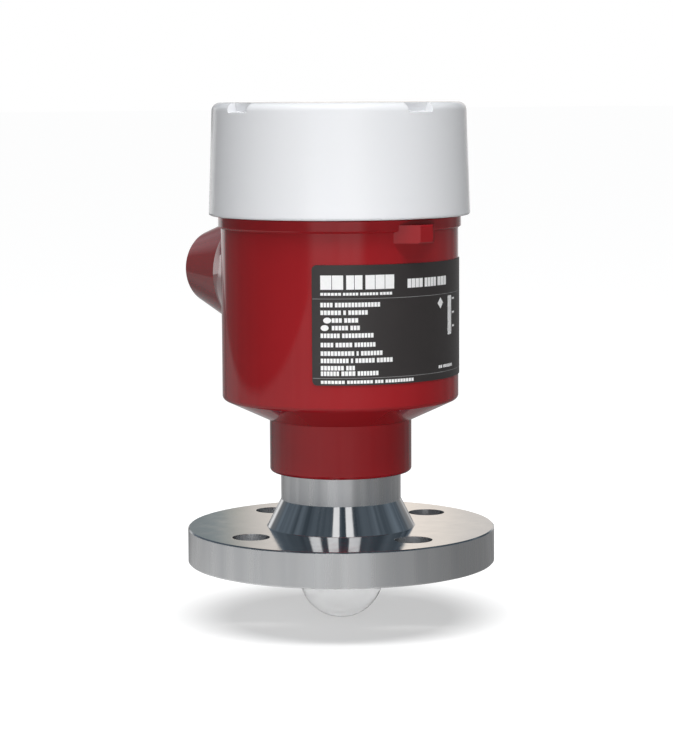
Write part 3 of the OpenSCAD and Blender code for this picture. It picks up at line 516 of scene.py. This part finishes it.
def print_patch(bm, angle0, angle1, low, high, steps=1):
    """A thin raised patch between two angles; low and high give its edges in z along it."""
    count = max(steps, math.ceil(abs(angle1 - angle0) / PRINT_STEP))
    rows = []
    for i in range(count + 1):
        share = i / count
        angle = angle0 + (angle1 - angle0) * share
        corners = ((low(share), LABEL_R), (high(share), LABEL_R),
                   (high(share), LABEL_R + PRINT_T), (low(share), LABEL_R + PRINT_T))
        rows.append([bm.verts.new(on_label(angle, z, r)) for z, r in corners])
    skin_rows(bm, rows)


def print_bar(bm, degrees0, degrees1, z_mm, height_mm):
    """A straight bar; z_mm is its middle above the label's lower edge."""
    middle = LABEL_LOW.z + z_mm * MM
    half = height_mm / 2 * MM
    print_patch(bm, math.radians(degrees0), math.radians(degrees1),
                lambda share: middle - half, lambda share: middle + half)


def oval(across):
    """The height of an oval, as a share, from -1 at one end to 1 at the other."""
    return math.sqrt(max(0.0, 1 - across ** 2))


def diamond(across):
    """The height of a diamond, as a share, from -1 at one end to 1 at the other."""
    return 1 - abs(across)


def print_spot(bm, outline, steps, degrees, z_mm, width_mm, height_mm):
    """A spot with the outline's shape; degrees and z_mm give its middle."""
    middle = LABEL_LOW.z + z_mm * MM
    half_angle = width_mm / 2 * MM / LABEL_R
    angle = math.radians(degrees)

    def half_height(share):
        return height_mm / 2 * MM * outline(2 * share - 1) + THINNEST_PRINT

    print_patch(bm, angle - half_angle, angle + half_angle,
                lambda share: middle - half_height(share),
                lambda share: middle + half_height(share), steps)


def print_words(bm, degrees0, z_mm, height_mm, words, gap=1.1, block=BLOCK_TURN):
    """A row of words, each given by its length in degrees and cut into plain blocks."""
    angle = degrees0
    for length in words:
        count = max(1, round(length / block))
        step = (length + BLOCK_GAP) / count
        for i in range(count):
            print_bar(bm, angle + i * step, angle + (i + 1) * step - BLOCK_GAP, z_mm, height_mm)
        angle += length + gap


def make_label_print():
    """Generic print: heading blocks, rows of word-long blocks, two dots, a diamond, and a
    level bar with ticks."""
    bm = bmesh.new()
    for left, z_mm, height_mm, words, gap, block in HEADINGS:
        print_words(bm, left, z_mm, height_mm, words, gap, block)
    for z_mm, indent, words in ROWS:
        print_words(bm, PRINT_LEFT + indent, z_mm, ROW_HEIGHT, words)
    print_words(bm, PRINT_LEFT, z_mm=1.6, height_mm=1.5, words=(11.0, 12.0, 4.0, 15.0))
    for z_mm, angle in DOTS:
        print_spot(bm, oval, DOT_STEPS, angle, z_mm, width_mm=3.8, height_mm=2.7)
    print_spot(bm, diamond, DIAMOND_STEPS, 16.5, z_mm=36.3, width_mm=4.6, height_mm=5.2)
    print_bar(bm, 23.5, 27.5, z_mm=30.0, height_mm=18.5)
    for z_mm in TICKS:
        print_bar(bm, 28.6, 31.6, z_mm, height_mm=0.9)
    print_words(bm, 15.0, z_mm=6.0, height_mm=1.4, words=(3.0, 9.0))
    ink = label_ink("white_ink", (0.78, 0.78, 0.78), (0.86, 0.86, 0.86))
    finish_mesh("label_print", bm, ink, "housing")


def make_label_rules():
    """The thin grey rules of the label."""
    bm = bmesh.new()
    end = math.degrees(LABEL_HALF_ANGLE) - RULE_INSET
    for z_mm in RULES:
        print_bar(bm, -end, end, z_mm, height_mm=0.25)
    ink = label_ink("grey_ink", (0.20, 0.20, 0.20), (0.24, 0.24, 0.24))
    finish_mesh("label_rules", bm, ink, "housing")


# ---- threads -------------------------------------------------------------

RIDGE_DEPTH = 0.8 * MM
RIDGE_SUNK = 0.1 * MM
# half widths of a ridge at its foot and at its crest, as shares of the pitch
RIDGE_FOOT = 0.30
RIDGE_CREST = 0.10
LID_PITCH = 4.0 * MM
SPOUT_R = 56.5 * MM
SPOUT_RIDGE_DROP = 5.6 * MM
SPOUT_RIDGE_LENGTH = 3.4 * MM
LID_BORE_R = 57.5 * MM
LID_RIDGE_LENGTH = 5.6 * MM
ENTRY_PITCH = 1.5 * MM
ENTRY_R = 9.2 * MM
ENTRY_Z = 140.8 * MM
ENTRY_SPOT_FACE = 0.8 * MM
ENTRY_RIDGE_LENGTH = 15.5 * MM
STEPS_PER_TURN = 72


def thread_ridge(name, wall_r, tip_r, length, pitch, phase, place, material, body):
    """A right-hand thread ridge on a round wall. It runs along the place's own Z from its
    origin; phase is where it starts, as a share of the pitch."""
    sunk_r = wall_r - math.copysign(RIDGE_SUNK, tip_r - wall_r)
    ring = ((sunk_r, -RIDGE_FOOT), (tip_r, -RIDGE_CREST),
            (tip_r, RIDGE_CREST), (sunk_r, RIDGE_FOOT))
    bm = bmesh.new()
    rows = []
    for i in range(round(length / pitch * STEPS_PER_TURN) + 1):
        turn = i / STEPS_PER_TURN
        angle = math.tau * (turn + phase)
        rows.append([bm.verts.new(place @ Vector((r * math.cos(angle), r * math.sin(angle),
                                                  (turn + share) * pitch)))
                     for r, share in ring])
    skin_rows(bm, rows)
    finish_mesh(name, bm, material, body)


def make_threads():
    """The ridges on the housing's spout, those inside the lid that run between them, and
    the thread of the cable entry."""
    red = NODES["housing"].data.materials[0]
    white = NODES["lid"].data.materials[0]
    top = node_high("housing")
    start = Matrix.Translation((0, 0, top.z - SPOUT_RIDGE_DROP))
    thread_ridge("spout_thread", SPOUT_R, SPOUT_R + RIDGE_DEPTH, SPOUT_RIDGE_LENGTH, LID_PITCH,
                 0.0, start, red, "housing")
    thread_ridge("lid_thread", LID_BORE_R, LID_BORE_R - RIDGE_DEPTH, LID_RIDGE_LENGTH, LID_PITCH,
                 0.5, start, white, "lid")
    mouth = Matrix.Translation((0, top.y - ENTRY_SPOT_FACE - ENTRY_PITCH / 2, ENTRY_Z))
    thread_ridge("entry_thread", ENTRY_R, ENTRY_R - RIDGE_DEPTH, ENTRY_RIDGE_LENGTH, ENTRY_PITCH,
                 0.0, mouth @ Matrix.Rotation(math.pi / 2, 4, "X"), red, "housing")


# ---- studio --------------------------------------------------------------

FLOOR_Z = cad_box[0][2]
FLOOR_SIZE = 60.0
# the floor's own greys close to the object, its grey further out, and where that changes
FLOOR_GREYS = (0.34, 0.36)
FLOOR_FAR_GREY = 0.15
FLOOR_GREY_REACH = (0.25, 0.60)
# what the floor adds for the camera close under the object and beyond it, and where that
# changes: the weaker glow close under the object paints a darker shadow over its real one
FLOOR_GLOW_AND_PAINTED_SHADOW = (0.48, 0.95)
PAINTED_SHADOW_REACH = (0.06, 0.11)
# where mirrors see the floor give way to the studio: to the viewer's left, and all round
FLOOR_EDGE = (-1.05, -0.95)
FLOOR_END_REACH = (2.2, 2.8)
# the fine streaks that mirrors see in the floor
STREAKS_PER_RADIAN = 6.0
STREAK_STRENGTH = (0.86, 1.14)

# even light, which comes from above and only a little from the horizon
AMBIENT = 0.31
AMBIENT_COLOUR = rgba(0.90, 0.95, 1.0)
AMBIENT_RISE = (0.30, 0.75)
HORIZON_SHARE = 0.15

# lamps: name, place to the viewer's right, ahead and up, width, depth and watts
LAMPS = (
    ("key", (0.0, -0.62, 1.5), 2.2, 0.4, 28.5),
    ("fill", (0.15, -1.6, 0.25), 2.6, 0.5, 4.2),
    ("back_fill", (0.0, 1.6, 0.40), 1.2, 0.5, 3.0),
    ("bounce", (0.0, -0.34, FLOOR_Z + 0.01), 0.45, 0.15, 1.05),
)
LAMP_TARGET = (0, 0, 0.12)

# what mirrors see above the horizon, each with the heights over which it sets in
LOW_SKY = rgba(0.17, 0.21, 0.25)
LOW_SKY_RISE = (0.10, 0.28)
HIGH_SKY = rgba(0.09, 0.11, 0.13)
HIGH_SKY_RISE = (0.3, 0.8)
SHADE = rgba(0.02, 0.03, 0.04)
SHADE_SHARE = 0.75
SHADE_RISE = (0.35, 0.65)
SHADES_PER_RADIAN = 3.0

# the backdrop behind the object: how squarely behind, and the heights at which it ends
BACKDROP_AHEAD = (-0.96, -0.90)
BACKDROP_TOP = (0.30, 0.40)

# brightness that mirrors see by turn about Z, counted to the viewer's right from the
# viewer: first of the floor close to the object, then of the studio beyond it
NEAR_TONES = (
    (-180, 0.60), (-165, 0.42), (-147, 0.24), (-127, 0.48), (-77, 0.74), (-43, 0.76), (-12, 0.68),
    (18, 0.57), (49, 0.34), (85, 0.22), (140, 0.25), (180, 0.36),
)
FAR_TONES = (
    (-180, 0.90), (-150, 0.90), (-142, 0.20), (-90, 0.20), (-32, 0.28), (-24, 0.95),
    (18, 0.95), (26, 0.28), (150, 0.28), (166, 0.80), (180, 0.90),
)

# colour of the backdrop behind the object, as steel laid flat mirrors it: sideways share of
# the distance, then red, green and blue
BACKDROP_TONES = (
    (-0.300, 0.10, 0.10, 0.11), (-0.120, 0.50, 0.50, 0.50), (-0.060, 0.21, 0.24, 0.25),
    (-0.050, 0.25, 0.29, 0.30), (-0.043, 0.45, 0.44, 0.40), (-0.036, 0.64, 0.60, 0.56),
    (-0.010, 0.98, 0.90, 0.82), (0.030, 0.97, 0.88, 0.79), (0.043, 0.87, 0.80, 0.73),
    (0.052, 0.72, 0.68, 0.64), (0.120, 0.65, 0.62, 0.60),
)

# ceiling panels: sideways from and to, then towards the viewer from and to, all as shares
# of their height; then their grey, the heights over which they set in, and how softly
# their sides and ends fade
CEILING_PANELS = (
    (-0.28, -0.07, 0.35, 1.5),
    (0.18, 0.41, 0.35, 1.5),
    (-0.65, -0.45, 0.15, 0.5),
)
PANEL_WHITE = grey(0.95)
PANEL_RISE = (0.05, 0.10)
PANEL_SOFT = (0.02, 0.05)


def seen_from_camera(right, ahead, up):
    """A direction or place given as the camera's viewer sees it, from the model's origin."""
    return Matrix.Rotation(VIEW_TURN, 3, "Z") @ Vector((right, ahead, up))


def viewer_axes(g, vector):
    """How far a vector goes to the viewer's right and towards the viewer, and its turn."""
    sockets = []
    for axis in (seen_from_camera(1, 0, 0), seen_from_camera(0, -1, 0)):
        node = g.add("ShaderNodeVectorMath", operation="DOT_PRODUCT")
        g.feed(node.inputs[0], vector)
        node.inputs[1].default_value = axis
        sockets.append(node.outputs["Value"])
    right, near = sockets
    return right, near, g.math("ARCTAN2", right, near)


def tone_by_turn(g, turn, tones):
    """A grey that follows a list of turns in degrees and their brightness."""
    stops = [((degrees + 180) / 360, grey(tone)) for degrees, tone in tones]
    return g.ramp(g.span(turn, -math.pi, math.pi), stops)


def noise_by_turn(g, turn, scale, detail):
    """A noise that changes with the turn only."""
    node = g.add("ShaderNodeTexNoise", noise_dimensions="1D")
    g.feed(node.inputs["W"], turn)
    node.inputs["Scale"].default_value = scale
    node.inputs["Detail"].default_value = detail
    return node.outputs["Fac"]


def by_ray(g, plain, mirrored, viewed):
    """One shader for mirrors, one for the camera and clear pieces, one for all other light."""
    path = g.add("ShaderNodeLightPath")
    clear = g.math("MAXIMUM", path.outputs["Is Camera Ray"], path.outputs["Is Transmission Ray"])
    return g.choose(clear, g.choose(path.outputs["Is Glossy Ray"], plain, mirrored), viewed)


def floor_finish():
    """Pale floor for the camera, its real shadow kept and darkened further by painted shadow close
    under the object, and shaded by direction for mirrors.
    """
    material, g, shader = new_material("studio_floor")
    position = g.add("ShaderNodeNewGeometry").outputs["Position"]
    length = g.add("ShaderNodeVectorMath", operation="LENGTH")
    g.feed(length.inputs[0], position)
    reach = length.outputs["Value"]
    dark, light = FLOOR_GREYS
    pale = g.mix(g.noise(3), grey(dark), grey(light))
    colour = g.mix(g.span(reach, *FLOOR_GREY_REACH), pale, grey(FLOOR_FAR_GREY))
    g.feed(shader["Base Color"], colour)
    shader["Roughness"].default_value = 0.9
    shader["Specular IOR Level"].default_value = 0.0

    plain = g.tree.nodes["Principled BSDF"].outputs["BSDF"]
    viewed = g.add("ShaderNodeAddShader")
    g.tree.links.new(plain, viewed.inputs[0])
    # painted shadow: a weaker glow close under the object darkens the floor there for the camera
    glow = g.glow(grey(1), g.span(reach, *PAINTED_SHADOW_REACH, *FLOOR_GLOW_AND_PAINTED_SHADOW))
    g.tree.links.new(glow, viewed.inputs[1])

    right, _, turn = viewer_axes(g, position)
    past_edge = g.span(right, *FLOOR_EDGE, 1.0, 0.0)
    beyond = g.math("MAXIMUM", past_edge, g.span(reach, *FLOOR_END_REACH))
    tone = g.mix(beyond, tone_by_turn(g, turn, NEAR_TONES), tone_by_turn(g, turn, FAR_TONES))
    streaks = noise_by_turn(g, turn, STREAKS_PER_RADIAN, 3.0)
    mirrored = g.glow(tone, g.vary(streaks, *STREAK_STRENGTH))
    g.tree.links.new(by_ray(g, plain, mirrored, viewed.outputs[0]),
                     g.tree.nodes["Material Output"].inputs["Surface"])
    return material


def make_floor():
    """A wide floor that takes the object's shadow, with painted shadow deepening it close under
    the object, and otherwise meets the white background."""
    bm = bmesh.new()
    bmesh.ops.create_grid(bm, x_segments=1, y_segments=1, size=FLOOR_SIZE / 2)
    mesh = bpy.data.meshes.new("floor")
    bm.to_mesh(mesh)
    bm.free()
    mesh.materials.append(floor_finish())
    floor = bpy.data.objects.new("floor", mesh)
    floor.location = (0, 0, FLOOR_Z)
    bpy.context.scene.collection.objects.link(floor)


def studio_colour(g, direction, height):
    """The studio round the object, by direction: toned at the horizon, dark blue-grey
    above it, a pale backdrop behind the object and bright panels in the ceiling."""
    right, near, turn = viewer_axes(g, direction)
    sky = g.mix(g.span(height, *HIGH_SKY_RISE), LOW_SKY, HIGH_SKY)
    shades = noise_by_turn(g, turn, SHADES_PER_RADIAN, 2.0)
    sky = g.mix(g.span(shades, *SHADE_RISE, 0.0, SHADE_SHARE), sky, SHADE)
    colour = g.mix(g.span(height, *LOW_SKY_RISE), tone_by_turn(g, turn, FAR_TONES), sky)

    behind = g.span(near, *BACKDROP_AHEAD, 1.0, 0.0)
    backdrop = g.math("MULTIPLY", behind, g.span(height, *BACKDROP_TOP, 1.0, 0.0))
    first, last = BACKDROP_TONES[0][0], BACKDROP_TONES[-1][0]
    across = g.span(g.math("DIVIDE", right, near), -first, -last)
    stops = [((tilt - first) / (last - first), rgba(*tone)) for tilt, *tone in BACKDROP_TONES]
    colour = g.mix(backdrop, colour, g.ramp(across, stops))

    sideways = g.math("DIVIDE", right, height)
    forwards = g.math("DIVIDE", near, height)
    overhead = g.span(height, *PANEL_RISE)
    side_soft, end_soft = PANEL_SOFT
    for right0, right1, near0, near1 in CEILING_PANELS:
        across = g.band(sideways, right0, right1, side_soft)
        panel = g.math("MULTIPLY", across, g.band(forwards, near0, near1, end_soft))
        colour = g.mix(g.math("MULTIPLY", panel, overhead), colour, PANEL_WHITE)
    return colour


def make_world():
    """White to the camera, a soft studio to mirrors, even light for the rest."""
    world = bpy.data.worlds.new("studio")
    bpy.context.scene.world = world
    world.use_nodes = True
    g = Graph(world.node_tree)

    def background(colour, strength):
        node = g.add("ShaderNodeBackground")
        g.feed(node.inputs["Color"], colour)
        node.inputs["Strength"].default_value = strength
        return node.outputs[0]

    direction = g.add("ShaderNodeTexCoord").outputs["Generated"]
    parts = g.add("ShaderNodeSeparateXYZ")
    g.feed(parts.inputs[0], direction)
    height = parts.outputs["Z"]
    overhead = g.span(height, *AMBIENT_RISE, HORIZON_SHARE, 1.0)
    even = background(g.mix(overhead, grey(0), AMBIENT_COLOUR), AMBIENT)
    studio = background(studio_colour(g, direction, height), 1.0)
    white = background(grey(1), 1.0)
    output = g.add("ShaderNodeOutputWorld")
    g.tree.links.new(by_ray(g, even, studio, white), output.inputs["Surface"])


def add_softbox(name, place, width, depth, watts):
    """A rectangular lamp that faces the object; the studio's panels stand for it in
    mirrors."""
    data = bpy.data.lights.new(name, "AREA")
    data.shape = "RECTANGLE"
    data.size = width
    data.size_y = depth
    data.energy = watts
    lamp = bpy.data.objects.new(name, data)
    bpy.context.scene.collection.objects.link(lamp)
    lamp.location = place
    lamp.rotation_euler = (Vector(LAMP_TARGET) - place).to_track_quat("-Z", "Y").to_euler()
    lamp.visible_camera = False
    lamp.visible_glossy = False


def make_lights():
    """A key from high in front, broad fills from the viewer's side and from behind, and a
    bounce board low in front."""
    for name, place, width, depth, watts in LAMPS:
        add_softbox(name, seen_from_camera(*place), width, depth, watts)


# ---- build ---------------------------------------------------------------

make_camera()
dress_cad()
make_label_print()
make_label_rules()
make_threads()
make_floor()
make_world()
make_lights()
bpy.context.scene.view_settings.view_transform = "Standard"
